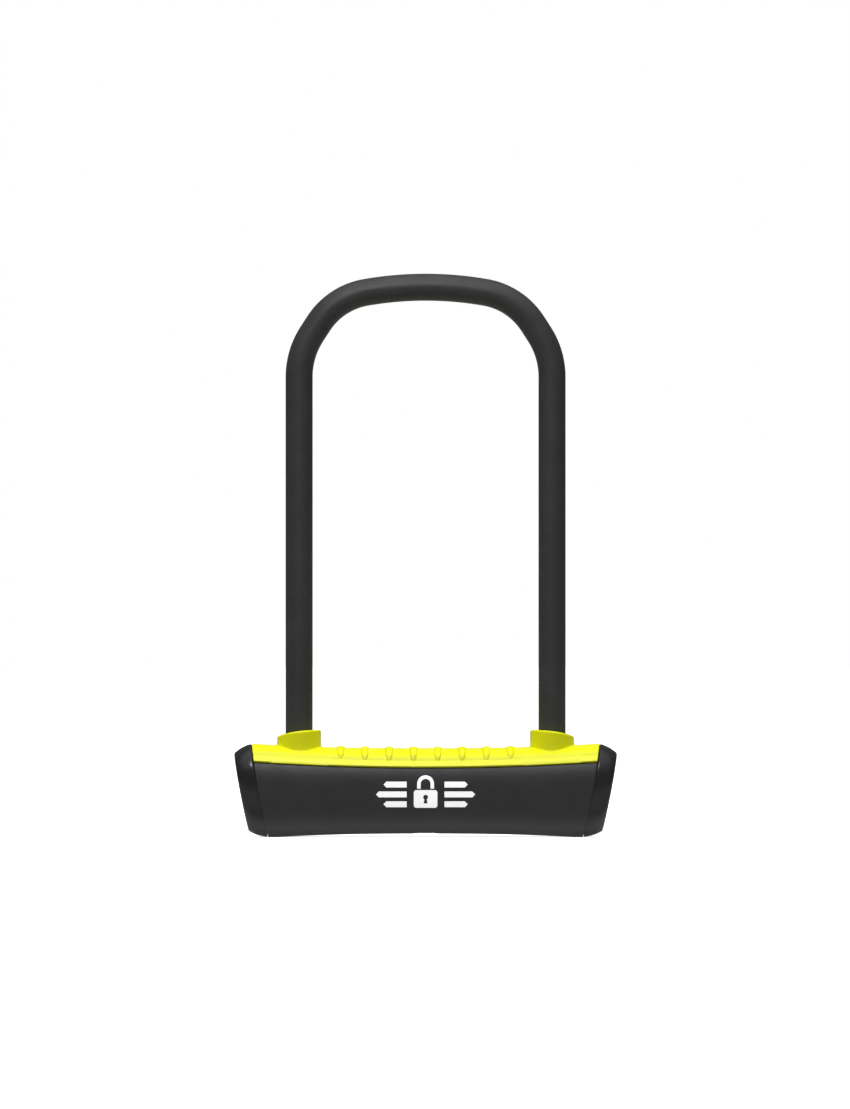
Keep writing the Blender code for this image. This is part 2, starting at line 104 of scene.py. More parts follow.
def top_line(x):
    return TOP_Z + TOP_RISE * (np.abs(x) / TOP_SPAN) ** TOP_POWER


def bottom_line(x):
    return np.maximum(0.0, ARCH_RISE * (1 - (np.abs(x) / ARCH_SPAN) ** ARCH_POWER))


def strip_line(x):
    """The height at which the yellow strip ends and the black body starts."""
    return STRIP_Z + STRIP_RISE * (x / STRIP_SPAN) ** 2


def section_table():
    """The section's outline from its top down to its bottom: length so far, y and w."""
    a = np.linspace(pi / 2, -pi / 2, TABLE_STEPS + 1)
    y = np.maximum(np.cos(a), 0) ** (2 / POWER)
    w = MIDDLE + HALF * np.sign(np.sin(a)) * np.abs(np.sin(a)) ** (2 / POWER)
    w = (w + np.sqrt(w * w + FOOT_SOFT * FOOT_SOFT)) / 2
    w = (w - w[-1]) / (1 - w[-1])
    w = w / w[0]
    step = np.hypot(np.diff(y) * HALF_DEPTH, np.diff(w) * SECTION_TALL)
    return np.concatenate([[0], np.cumsum(step)]), y, w


TABLE_S, TABLE_Y, TABLE_W = section_table()
S_END = TABLE_S[-1]
WIDEST = int(np.argmax(TABLE_Y))
UPPER = slice(WIDEST, None, -1)


def section_at(s):
    """The section's y, as a share of its half depth, and w at length s."""
    return np.interp(s, TABLE_S, TABLE_Y), np.interp(s, TABLE_S, TABLE_W)


def loft_point(s, side, grow, top_x, top_z, low_x, low_z, depth, bow):
    """A point at length s down one side of a section, moved out from the surface by grow."""
    y, w = section_at(s)
    tall = top_z - low_z
    y = y * (depth + grow)
    w = MIDDLE + (w - MIDDLE) * (1 + grow / (tall * HALF))
    x = low_x + (top_x - low_x) * w + bow * 4 * w * (1 - w)
    return np.stack(np.broadcast_arrays(x, side * y, low_z + tall * w), axis=-1)


def bar_point(u, s, side, grow=0.0):
    """A point on the crossbar's own surface, moved out by grow."""
    top_x, low_x = SEAM_TOP * u, SEAM_BOTTOM * u
    bow = SEAM_BOW * u * np.abs(u)
    return loft_point(s, side, grow, top_x, top_line(top_x), low_x, bottom_line(low_x), HALF_DEPTH, bow)


def lean_at(u, w):
    """How far along the crossbar the section at u is at the share w of its height, without its bow."""
    return SEAM_BOTTOM * u + (SEAM_TOP - SEAM_BOTTOM) * u * w


def x_at(u, w):
    return lean_at(u, w) + SEAM_BOW * u * np.abs(u) * 4 * w * (1 - w)


def split_at(u, shift):
    """The length s at which a section meets the strip's lower line, moved up by shift."""
    u = np.asarray(u, float)
    low_z, top_z = bottom_line(SEAM_BOTTOM * u), top_line(SEAM_TOP * u)
    w = np.full(u.shape, 0.8)
    for _ in range(ROUNDS):
        w = (strip_line(x_at(u, w)) + shift - low_z) / (top_z - low_z)
    return np.interp(w, TABLE_W[UPPER], TABLE_S[UPPER])


def find_on_top(x, y):
    """u and s of the surface point at x, y in plan."""
    s = np.interp(np.abs(y) / HALF_DEPTH, TABLE_Y[:WIDEST + 1], TABLE_S[:WIDEST + 1])
    _, w = section_at(s)
    u = x / SEAM_TOP
    for _ in range(ROUNDS):
        u = u + (x - x_at(u, w)) / SEAM_TOP
    return u, s


def smooth_step(v):
    v = np.clip(v, 0, 1)
    return v * v * (3 - 2 * v)


def edge_round(d, r):
    """How far a rounded edge of radius r falls in at distance d from it."""
    d = np.clip(np.broadcast_arrays(d, r)[0], 0, r)
    return r - np.sqrt(np.maximum(r * r - (r - d) ** 2, 0))


# Mesh helpers


def add_object(name, data):
    made = bpy.data.objects.new(name, data)
    bpy.context.scene.collection.objects.link(made)
    return made


def object_from(bm, name):
    mesh = bpy.data.meshes.new(name)
    bm.to_mesh(mesh)
    bm.free()
    return add_object(name, mesh)


def shade(obj, sharp):
    """Smooth shading, with a hard edge wherever two faces meet at more than this angle in degrees."""
    for p in obj.data.polygons:
        p.use_smooth = True
    obj.data.set_sharp_from_angle(angle=radians(sharp))


def new_object(name, points, faces, sharp):
    mesh = bpy.data.meshes.new(name)
    mesh.from_pydata([tuple(p) for p in np.asarray(points, float) * MM], [], [tuple(f) for f in faces])
    mesh.validate()
    bm = bmesh.new()
    bm.from_mesh(mesh)
    bpy.data.meshes.remove(mesh)
    bmesh.ops.remove_doubles(bm, verts=bm.verts, dist=1e-7)
    bmesh.ops.recalc_face_normals(bm, faces=bm.faces)
    made = object_from(bm, name)
    shade(made, sharp)
    return made


def grid_faces(index, wrap=False):
    """Quads over a 2-D array of vertex numbers, joined round its second axis if wrap is set."""
    b = np.roll(index, -1, axis=1) if wrap else index[:, 1:]
    a = index if wrap else index[:, :-1]
    quads = np.stack([a[:-1], b[:-1], b[1:], a[1:]], axis=-1)
    return quads.reshape(-1, 4).tolist()


def cut(obj, cutters):
    """Take the cutters away from obj, and remove them."""
    for cutter in cutters:
        step = obj.modifiers.new("cut", "BOOLEAN")
        step.operation = "DIFFERENCE"
        step.solver = "MANIFOLD"
        step.object = cutter
    bpy.context.view_layer.update()
    graph = bpy.context.evaluated_depsgraph_get()
    mesh = bpy.data.meshes.new_from_object(obj.evaluated_get(graph), depsgraph=graph)
    obj.modifiers.clear()
    obj.data = mesh
    for cutter in cutters:
        bpy.data.objects.remove(cutter, do_unlink=True)


def cylinder(name, r, low, high, r_high=None, place=Matrix()):
    """A cylinder, or a cone that ends at r_high, from low up to high, then moved by place."""
    bm = bmesh.new()
    middle = Matrix.Translation((0, 0, (low + high) / 2 * MM))
    bmesh.ops.create_cone(bm, segments=96, radius1=r * MM, radius2=(r_high or r) * MM,
                          depth=(high - low) * MM, cap_ends=True, matrix=place @ middle)
    return object_from(bm, name)


def box(x, y, z):
    """A bmesh box between these limits."""
    bm = bmesh.new()
    middle = [(a + b) / 2 * MM for a, b in (x, y, z)]
    size = Matrix.Diagonal([(b - a) * MM for a, b in (x, y, z)] + [1])
    bmesh.ops.create_cube(bm, size=1.0, matrix=Matrix.Translation(middle) @ size)
    return bm


def rounded_box(name, x, y, z, r):
    """A box whose upright edges are rounded."""
    bm = box(x, y, z)
    upright = [e for e in bm.edges if abs(e.verts[0].co.z - e.verts[1].co.z) > 1e-6]
    bmesh.ops.bevel(bm, geom=upright, offset=r * MM, segments=5, profile=0.5, affect="EDGES")
    return object_from(bm, name)


# The yellow strip


def band_profile(d):
    """The moulding's own section: a flared band, a crease, and a face that flattens towards the top."""
    total = sum(np.interp(d + shift, BAND_AT, BAND_PROUD) for shift in BAND_BLUR)
    return total / len(BAND_BLUR) - GROOVE_DEEP * np.exp(-(((d - CREASE) / GROOVE_WIDE) ** 2))


def rib_relief(x, d):
    """The ribs' height: each runs over the top and ends in a round, low tip just above the crease."""
    out = 0.0
    for rib in RIBS:
        up = d - CREASE - (LAST_RIB_UP if rib == RIBS[-1] else 0.0)
        tip = np.sqrt(np.clip((up + 0.35) / 2.6, 0, 1))
        half = RIB_HALF * tip + RIB_FLARE * np.clip((up - 2.2) / 8, 0, 1)
        tall = RIB_PROUD * (0.3 + 0.7 * smooth_step((up + 0.3) / 3.6))
        for side in (-1, 1):
            out = out + tall * smooth_step((half - np.abs(x - side * rib)) / RIB_SIDE)
    return out


def strip_relief(u, s, split):
    """The height of the moulding's section and its ribs above the plain surface."""
    _, w = section_at(s)
    d = split - s
    out = band_profile(d) + rib_relief(lean_at(u, w), d)
    return out - edge_round(d, MOULDED_EDGE) - edge_round((1 - np.abs(u)) * STRIP_SPAN, STRIP_END_EDGE)


def strip_outer(u, sigma):
    """The strip's outside. sigma is s with the sign of the side it is on."""
    s = np.abs(sigma)
    side = np.where(sigma < 0, -1.0, 1.0)
    return bar_point(u, s, side, strip_relief(u, s, split_at(u, GAP / 2)))


def arch_z(y):
    """The height of the underside's arch over the steel tube."""
    return TUBE_Z + np.sqrt(SHELL_BORE ** 2 - y ** 2)


def strip_inner(u, sigma):
    """The underside: an arch clear of the steel tube and a ledge out to the strip's lower edge."""
    arch_share = 0.6
    split = split_at(u, GAP / 2)
    share = np.abs(sigma) / split
    side = np.where(sigma < 0, -1.0, 1.0)
    edge = bar_point(u, split, side, -MOULDED_EDGE)
    reach = np.arccos(np.clip((edge[..., 2] - TUBE_Z) / SHELL_BORE, -1, 1))
    angle = np.minimum(share / arch_share, 1) * reach
    out = np.maximum(share - arch_share, 0) / (1 - arch_share)
    y = SHELL_BORE * np.sin(angle)
    y = y + (np.abs(edge[..., 1]) - y) * out
    z = TUBE_Z + SHELL_BORE * np.cos(angle)
    return np.stack(np.broadcast_arrays(edge[..., 0] + 0 * y, side * y, z), axis=-1)


def strip_columns():
    """Values of u along the strip, close together at the ribs, and each collar's span among them."""
    widest_step = 1.6
    at_ribs = np.concatenate([[0.0]] + [rib + np.linspace(-2.3, 2.3, 19) for rib in RIBS])
    at_collar = np.linspace(LEG_X - 15.0, LEG_X + 15.0, 25)
    at_end = [0.985, 0.993, 0.9965, 0.9985, 0.99953, 1.0]
    half = np.concatenate([at_ribs / STRIP_HALF, at_collar / STRIP_HALF, at_end])
    marks = np.unique(np.round(np.concatenate([-half, half]), 7))
    us = [marks[0]]
    for mark in marks[1:]:
        count = int(np.ceil((mark - us[-1]) * STRIP_HALF / widest_step))
        us += list(np.linspace(us[-1], mark, count + 1)[1:])
    us = np.array(us)
    spans = []
    for side in (-1, 1):
        low, high = sorted((side * at_collar[0] / STRIP_HALF, side * at_collar[-1] / STRIP_HALF))
        spans.append((int(np.argmin(np.abs(us - low))), int(np.argmin(np.abs(us - high)))))
    return us, spans


def strip_rows(split):
    """Signed lengths across the strip for one column, close together near the lower edges and creases."""
    near = split - np.array([
        0.0, 0.02, 0.09, 0.2, 0.35, 0.8, 1.4, 2.0, 2.6, 3.0, 3.2, 3.38, 3.54, 3.68, 3.82, 3.98,
        4.16, 4.4, 4.7, 5.0, 5.25, 5.5, 5.75, 6.0, 6.3, 6.7, 7.3, 8.1, 9.1])
    far = np.linspace(near[-1], 0, 9)[1:]
    half = np.concatenate([near, far])
    return np.concatenate([-half, half[-2::-1]])


def shell_faces(index, spans):
    """The strip's outside and underside, open where the collars stand, and joined along their rims."""
    count = index.size
    (first, second), last = spans, len(index) - 1
    faces = []
    for low, high in ((0, first[0]), (first[1], second[0]), (second[1], last)):
        part = index[low:high + 1]
        faces += grid_faces(part) + grid_faces(part + count)
    for row in (0, -1):
        faces += grid_faces(np.stack([index[:, row], index[:, row] + count]))
    for col in (0, -1):
        faces += grid_faces(np.stack([index[col], index[col] + count]))
    return faces


def collar_top(inward):
    """The rim's height, level on the inward side and falling away outward."""
    fall = np.maximum(0.0, COLLAR_LEVEL - inward) / (COLLAR_LEVEL + COLLAR_R)
    return COLLAR_TOP - COLLAR_DROP * fall ** COLLAR_POWER


def rim_profile():
    """The collar's rim from its outer wall over to its bore: radius and drop below the top."""
    out = []
    for k in range(1, 6):
        q = k / 5 * pi / 2
        out.append((COLLAR_R - RIM * (1 - cos(q)), RIM * (1 - sin(q))))
    out += [(9.7, 0.0), (8.6, 0.0)]
    for k in range(5):
        q = k / 4 * pi / 2
        out.append((COLLAR_BORE + INNER_RIM * (1 - sin(q)), INNER_RIM * (1 - cos(q))))
    return out


def collar_foot(side, cx, sy, grown):
    """A ring on the strip's face, outside the collar's wall by grown: its x, y, u and signed s."""
    x, y = side * LEG_X + (COLLAR_R + grown) * cx, (COLLAR_DEEP + grown) * sy
    u, s = find_on_top(x, y)
    return x, y, u, np.where(y < 0, -s, s)


def collar_outer_rings(side, cx, sy, u, sigma):
    """Rings from u, sigma over the strip's face, up the collar's fillet and wall, and over its rim."""
    fillet = FILLET * (0.35 + 0.65 * cx ** 2)
    _, _, foot_u, foot_s = collar_foot(side, cx, sy, fillet)
    for k in range(1, 11):
        mix = 1 - (1 - k / 10) ** 1.4
        yield strip_outer(u + (foot_u - u) * mix, sigma + (foot_s - sigma) * mix)
    for k in range(1, 9):
        q = k / 8 * pi / 2
        x, y, foot_u, foot_s = collar_foot(side, cx, sy, fillet * (1 - sin(q)))
        wall = strip_outer(foot_u, foot_s)[:, 2] + fillet * (1 - cos(q))
        yield np.stack([x, y, wall], axis=1)
    top = collar_top(-side * COLLAR_R * cx) - RIM
    for share in (0.25, 0.5, 0.75, 1.0):
        yield np.stack([x, y, wall + (top - wall) * share], axis=1)
    for r, drop in rim_profile():
        deep = r + (COLLAR_DEEP - COLLAR_R) * (r - COLLAR_BORE) / (COLLAR_R - COLLAR_BORE)
        yield np.stack([side * LEG_X + r * cx, deep * sy, collar_top(-side * r * cx) - drop], axis=1)


def collar_inner_rings(side, cx, sy, under):
    """Rings down the collar's bore to the arch, and along the arch to the points under."""
    x, y = side * LEG_X + COLLAR_BORE * cx, COLLAR_BORE * sy
    for z in (48.0, 42.0):
        yield np.stack([x, y, np.full(x.shape, z)], axis=1)
    foot = np.stack([x, y, arch_z(y)], axis=1)
    yield foot
    arch_half = 9.5
    for k in range(1, 5):
        ring = foot + (under - foot) * k / 5
        on_arch = np.abs(ring[:, 1]) < arch_half
        ring[on_arch, 2] = arch_z(ring[on_arch, 1])
        yield ring


def make_strip():
    us, spans = strip_columns()
    sigma = np.array([strip_rows(v) for v in split_at(us, GAP / 2)])
    u = np.repeat(us[:, None], sigma.shape[1], axis=1)
    index = np.arange(u.size).reshape(u.shape)
    outer, under = (grid.reshape(-1, 3) for grid in (strip_outer(u, sigma), strip_inner(u, sigma)))
    points = [outer, under]
    total = 2 * u.size
    faces = shell_faces(index, spans)
    for (low, high), side in zip(spans, (-1, 1)):
        hole = np.concatenate([index[low:high + 1, 0], index[high, 1:],
                               index[low:high, -1][::-1], index[low, 1:-1][::-1]])
        angle = np.arctan2(outer[hole, 1], outer[hole, 0] - side * LEG_X)
        cx, sy = np.cos(angle), np.sin(angle)
        rings = [*collar_outer_rings(side, cx, sy, u.reshape(-1)[hole], sigma.reshape(-1)[hole]),
                 *collar_inner_rings(side, cx, sy, under[hole])]
        new = total + np.arange(len(rings) * len(hole)).reshape(-1, len(hole))
        faces += grid_faces(np.vstack([hole, new, hole + u.size]), wrap=True)
        points += rings
        total += new.size
    return new_object("strip_moulding", np.concatenate(points), faces, sharp=60)


# The black body and the end caps


def half_solid(name, rings):
    """A closed solid through half rings at +Y that run from the top to the bottom, mirrored to -Y."""
    rings = np.asarray(rings)
    n, m = rings.shape[:2]
    mirrored = rings * (1, -1, 1)
    points = np.concatenate([rings.reshape(-1, 3), mirrored.reshape(-1, 3)])
    right = np.arange(n * m).reshape(n, m)
    left = right + n * m
    faces = grid_faces(right) + grid_faces(left)
    for j in (0, m - 1):
        if rings[0, j, 1] > 1e-6:
            faces += grid_faces(np.stack([right[:, j], left[:, j]]))
    for k in (0, n - 1):
        faces += grid_faces(np.stack([right[k], left[k]]))
    return new_object(name, points, faces, sharp=40)


def seam_edge(s, top):
    """The radius of an edge along the seam: top down to the shoulder, then fine, then wider underneath."""
    share = s / S_END
    upper = (top - FINE_EDGE) * smooth_step((0.42 - share) / 0.14)
    return FINE_EDGE + upper + FOOT_EDGE * smooth_step((share - 0.86) / 0.1)


def make_body():
    from_end = np.array([0, 0.02, 0.08, 0.18, 0.3, 0.45, 0.65, 0.9, 1.2, 2.0, 4.0]) / BODY_HALF
    us = np.unique(np.concatenate([-1 + from_end, np.linspace(-0.94, 0.94, 72), 1 - from_end]))
    edge_rows = np.array([0, 0.02, 0.09, 0.2, 0.35, 0.6, 1.0, 1.6])
    rings = []
    for u, split in zip(us, split_at(us, -GAP / 2)):
        s = np.concatenate([split + edge_rows, np.linspace(split + 2.4, S_END, 58)])
        grow = -edge_round(s - split, MOULDED_EDGE)
        grow = grow - edge_round((1 - abs(u)) * BODY_HALF, seam_edge(s, BODY_SEAM_EDGE))
        rings.append(bar_point(np.full(s.shape, u), s, 1.0, grow))
    body = half_solid("body_moulding", rings)
    along = Matrix.Translation((0, 0, TUBE_Z * MM)) @ Matrix.Rotation(pi / 2, 4, "Y")
    cut(body, [
        cylinder("bore", SHELL_BORE, -120, 120, place=along),
        cylinder("seat", SEAT_R, -3, SEAT_Z),
        cylinder("seat_edge", SEAT_EDGE_R[0], *SEAT_EDGE_Z, r_high=SEAT_EDGE_R[1]),
        cylinder("through", LOCK_BORE_R, -3, LOCK_BORE_Z),
    ])
    shade(body, 35)
    return body


def spline(values, t):
    """Catmull-Rom through rows of values at t from 0 to 1."""
    rows = np.vstack([2 * values[0] - values[1], values, 2 * values[-1] - values[-2]])
    last = len(values) - 1
    k = np.minimum((t * last).astype(int), last - 1)
    f = (t * last - k)[:, None]
    a, b, c, d = (rows[k + n] for n in range(4))
    curve = (c - a) * f + (2 * a - 5 * b + 4 * c - d) * f ** 2 + (3 * b - a - 3 * c + d) * f ** 3
    return 0.5 * (2 * b + curve)


def make_cap(side, name):
    last = len(CAP_RINGS) - 1
    from_seam = np.array([0, 0.01, 0.04, 0.09, 0.16, 0.25, 0.36, 0.48])
    t = np.concatenate([from_seam, np.linspace(0.6, last, 30)]) / last
    s = np.linspace(0, S_END, 84)
    rings = []
    for top_x, top_z, low_x, low_z, depth, bow in spline(CAP_RINGS, t):
        grow = -edge_round(top_x - CAP_RINGS[0][0], seam_edge(s, CAP_SEAM_EDGE))
        rings.append(loft_point(s, 1.0, grow, side * top_x, top_z, side * low_x, low_z, depth, side * bow))
    rim = rings[-1]
    middle = (rim[0] + rim[-1]) / 2
    for shrink in CAP_SHRINK:
        crown = side * CAP_CROWN * (1 - shrink ** 2)
        rings.append(middle + (rim - middle) * shrink + (crown, 0, 0))
    cap = half_solid(name, rings)
    slot_x = sorted(side * x for x in SLOT_X)
    cut(cap, [rounded_box("pry_slot", slot_x, (-25, 25), SLOT_Z, 0.1)])
    shade(cap, 40)
    return cap


# The shackle


def middle_line(bend_steps, end_z):
    """The shackle's middle line as x, z from one leg's end over to the other's."""
    x, z, turn = LEG_X, LEG_TOP, 90.0
    rows = int(np.ceil((LEG_TOP - end_z - 12) / LEG_STEP)) + 1
    points = [(x, end_z + LEG_STEP * k) for k in range(rows)] + [(x, LEG_TOP)]
    for number, (r, angle) in enumerate(BENDS):
        steps = max(3, round(angle / bend_steps[number]))
        for _ in range(steps):
            half = radians(angle / steps / 2)
            chord = 2 * r * sin(half)
            x += chord * cos(radians(turn) + half)
            z += chord * sin(radians(turn) + half)
            turn += angle / steps
            points.append((x, z))
        if number == 0:
            for _ in range(2):
                x += SLANT / 2 * cos(radians(turn))
                z += SLANT / 2 * sin(radians(turn))
                points.append((x, z))
    points[-1] = (0.0, points[-1][1])
    return points + [(-px, pz) for px, pz in points[-2::-1]]


def sweep(line, radii, sides):
    """Rings round the middle line: one for each point, with its own radius."""
    line = np.array(line)
    ahead = np.vstack([line[1:], line[-1:]])
    behind = np.vstack([line[:1], line[:-1]])
    along = ahead - behind
    along /= np.linalg.norm(along, axis=1)[:, None]
    out = np.stack([along[:, 1], -along[:, 0]], axis=1)
    a = 2 * pi * (np.arange(sides) + 0.5) / sides
    r = np.asarray(radii)[:, None]
    x = line[:, :1] + r * np.cos(a) * out[:, :1]
    z = line[:, 1:] + r * np.cos(a) * out[:, 1:]
    y = r * np.sin(a) + 0 * x
    return np.stack([x, y, z], axis=-1)


def end_profile(line, r, edge):
    """The line and radii with a rounded edge added at both ends."""
    turns = [radians(v) for v in (0, 15, 30, 50, 70, 90)]
    leg_x, end = line[0]
    low = [(leg_x, end + edge * (1 - cos(v))) for v in turns]
    radii = [r - edge * (1 - sin(v)) for v in turns]
    inner = [p for p in line if p[1] > end + edge + 0.01]
    far = [(-x, z) for x, z in low[::-1]]
    return low + inner + far, radii + [r] * len(inner) + radii[::-1]


def make_sleeve():
    sides = 72
    outer = sweep(*end_profile(middle_line((2.2, 2.2, 1.1), SLEEVE_END), SLEEVE_R, 0.5), sides)
    inner_line = middle_line((8, 6, 3), SLEEVE_END)
    inner = sweep(inner_line, [SLEEVE_BORE] * len(inner_line), sides)
    outside = np.arange(outer.shape[0] * sides).reshape(-1, sides)
    inside = outside.size + np.arange(inner.shape[0] * sides).reshape(-1, sides)
    faces = grid_faces(outside, wrap=True) + grid_faces(inside, wrap=True)
    for row in (0, -1):
        faces += grid_faces(np.stack([outside[row], inside[row]]), wrap=True)
    points = np.concatenate([outer.reshape(-1, 3), inner.reshape(-1, 3)])
    return new_object("shackle_cover", points, faces, sharp=50)


def notch_cutter(side):
    """The space of one foot's bolt notch, with its two inner edges rounded."""
    bm = box(sorted(side * x for x in NOTCH_X), (-10, 10), NOTCH_Z)
    deepest = NOTCH_X[1] * MM
    inner = [e for e in bm.edges if all(abs(abs(v.co.x) - deepest) < 1e-6 for v in e.verts)
             and abs(e.verts[0].co.z - e.verts[1].co.z) < 1e-6]
    bmesh.ops.bevel(bm, geom=inner, offset=NOTCH_EDGE * MM, segments=4, profile=0.5, affect="EDGES")
    return object_from(bm, "notch")


def make_bar():
    sides = 64
    rings = sweep(*end_profile(middle_line((5, 5, 2.5), FOOT_END), BAR_R, 1.4), sides)
    index = np.arange(rings.shape[0] * sides).reshape(-1, sides)
    faces = grid_faces(index, wrap=True) + [index[0].tolist(), index[-1].tolist()]
    bar = new_object("shackle_rod", rings.reshape(-1, 3), faces, sharp=40)
    cut(bar, [notch_cutter(-1), notch_cutter(1)])
    shade(bar, 30)
    return bar


# The keyway ring under the crossbar


def make_bezel():
    sides = 96
    a = 2 * pi * np.arange(sides) / sides
    rings = np.array([[(r * cos(v), r * sin(v), z) for v in a] for r, z in RING_OUTLINE])
    index = np.arange(len(RING_OUTLINE) * sides).reshape(-1, sides)
    faces = grid_faces(index, wrap=True) + [index[0].tolist(), index[-1].tolist()]
    bezel = new_object("keyway_ring", rings.reshape(-1, 3), faces, sharp=30)
    cut(bezel, [
        rounded_box("window", (-2.6, 2.6), (-5.0, 5.0), (0, 4.1), 1.0),
        rounded_box("pocket", (-3.8, 10.1), (-6.0, 6.0), (3.3, 8.0), 0.5),
    ])
    shade(bezel, 30)
    return bezel


# The printed mark: a plain padlock sign between pointed stripes


def arc_points(cx, cz, r, first, last, count):
    return [(cx + r * cos(radians(a)), cz + r * sin(radians(a))) for a in np.linspace(first, last, count)]


def rounded_outline(x0, x1, z0, z1, r):
    out = []
    corners = ((x1 - r, z1 - r), (x0 + r, z1 - r), (x0 + r, z0 + r), (x1 - r, z0 + r))
    for k, (cx, cz) in enumerate(corners):
        out += arc_points(cx, cz, r, 90 * k, 90 * (k + 1), 6)
    return out


def mark_outlines():
    """Closed outlines in x, z; each is a list of an outer loop and any holes."""
    keyhole = arc_points(0, 20.6, 1.25, -60, 240, 16) + [(-1.0, 17.4), (1.0, 17.4)]
    shapes = [[rounded_outline(-6.0, 6.0, 15.2, 24.2, 1.3), keyhole]]
    outer_r, inner_r, centre_z, foot_z = 4.3, 2.5, 27.4, 24.9
    loop = [(outer_r, foot_z)] + arc_points(0, centre_z, outer_r, 0, 180, 20) + [(-outer_r, foot_z)]
    loop += [(-inner_r, foot_z)] + arc_points(0, centre_z, inner_r, 180, 0, 16) + [(inner_r, foot_z)]
    shapes.append([loop])
    near, half = 9.6, 1.5
    for z, far in ((27.0, 21.4), (22.0, 25.2), (17.0, 21.4)):
        for side in (-1, 1):
            low, high, shoulder = z - half, z + half, far - half
            loop = [(near, low), (shoulder, low), (far, z), (shoulder, high), (near, high)]
            shapes.append([[(side * x, v) for x, v in loop]])
    return shapes


def slice_mesh(bm, axis, places):
    """Cut all faces along planes across one axis, so that they can follow a curved surface."""
    normal = [1 if k == axis else 0 for k in range(3)]
    for place in places:
        geom = list(bm.verts) + list(bm.edges) + list(bm.faces)
        plane = [n * place * MM for n in normal]
        bmesh.ops.bisect_plane(bm, geom=geom, plane_co=plane, plane_no=normal, dist=1e-7)


def make_mark():
    bm = bmesh.new()
    for loops in mark_outlines():
        edges = []
        for loop in loops:
            verts = [bm.verts.new((x * MM, 0, z * MM)) for x, z in loop]
            edges += [bm.edges.new((verts[k], verts[(k + 1) % len(verts)])) for k in range(len(verts))]
        bmesh.ops.triangle_fill(bm, use_beauty=True, use_dissolve=False, edges=edges)
    slice_mesh(bm, 2, np.arange(14.5, 33, 0.5))
    slice_mesh(bm, 0, np.arange(-26, 27, 2.0))
    bmesh.ops.remove_doubles(bm, verts=bm.verts, dist=2e-6)
    bmesh.ops.recalc_face_normals(bm, faces=bm.faces)
    if sum(f.normal.y for f in bm.faces) > 0:
        bmesh.ops.reverse_faces(bm, faces=bm.faces)
    for v in bm.verts:
        v.co.y = -front_depth(v.co.x / MM, v.co.z / MM) * MM
    made = bmesh.ops.extrude_face_region(bm, geom=list(bm.faces))
    for v in (g for g in made["geom"] if isinstance(g, bmesh.types.BMVert)):
        v.co.y -= PRINT_THICK * MM
    bmesh.ops.recalc_face_normals(bm, faces=bm.faces)
    # the extrusion adds its walls in no fixed order, so all are put in order along a slanted line
    slanted = Vector((1.0, 2 ** 0.5, 3 ** 0.5))
    bm.verts.sort(key=lambda v: slanted.dot(v.co))
    bm.edges.sort(key=lambda e: slanted.dot(e.verts[0].co + e.verts[1].co))
    bm.faces.sort(key=lambda f: slanted.dot(f.calc_center_median()))
    return object_from(bm, "printed_mark")


def front_depth(x, z):
    """How far the print's back stands from the middle plane at x, z, just under the body's front."""
    low, high = float(bottom_line(x)), float(top_line(x))
    w = (z - low) / (high - low)
    rows = slice(None, WIDEST - 1, -1) if w < TABLE_W[WIDEST] else UPPER
    return HALF_DEPTH * float(np.interp(w, TABLE_W[rows], TABLE_Y[rows])) - PRINT_SINK


# Materials


